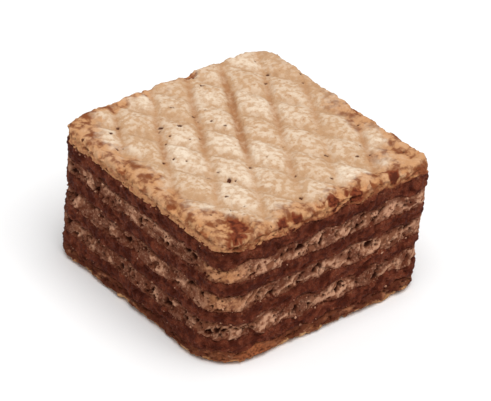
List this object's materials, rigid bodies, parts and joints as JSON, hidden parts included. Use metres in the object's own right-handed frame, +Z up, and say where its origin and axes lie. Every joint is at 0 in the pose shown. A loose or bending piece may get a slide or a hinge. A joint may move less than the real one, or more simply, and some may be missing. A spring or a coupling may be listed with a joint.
{
  "type": "chocolate wafer cube",
  "caption": "Bite-size block of crisp wafer sheets stacked with cocoa cream, with crumbly saw-cut sides and a pale lattice-pressed top, lying flat.",
  "frame": {"origin": "under the middle of the block's bounding box, on the flat face that it rests on", "axes": "+Z up through the stack, X and Y along the sides of the sheets; the grooves lean 30 degrees to either side of Y"},
  "size_m": [0.0248, 0.0248, 0.0138],
  "materials": {
    "wafer_crust": "matte, pale baked lattice with toasted edges",
    "wafer_underside": "matte, golden baked face with faint lines",
    "wafer_cut": "rough, porous saw-cut wafer dusted with cocoa",
    "cocoa_cream": "satin, smeared cocoa cream"
  },
  "bodies": {
    "root": {"wafer_1": "wafer_underside", "cream_1": "cocoa_cream", "wafer_2": "wafer_cut", "cream_2": "cocoa_cream", "wafer_3": "wafer_cut", "cream_3": "cocoa_cream", "wafer_4": "wafer_cut", "cream_4": "cocoa_cream", "wafer_5": "wafer_crust"}
  },
  "joints": []
}
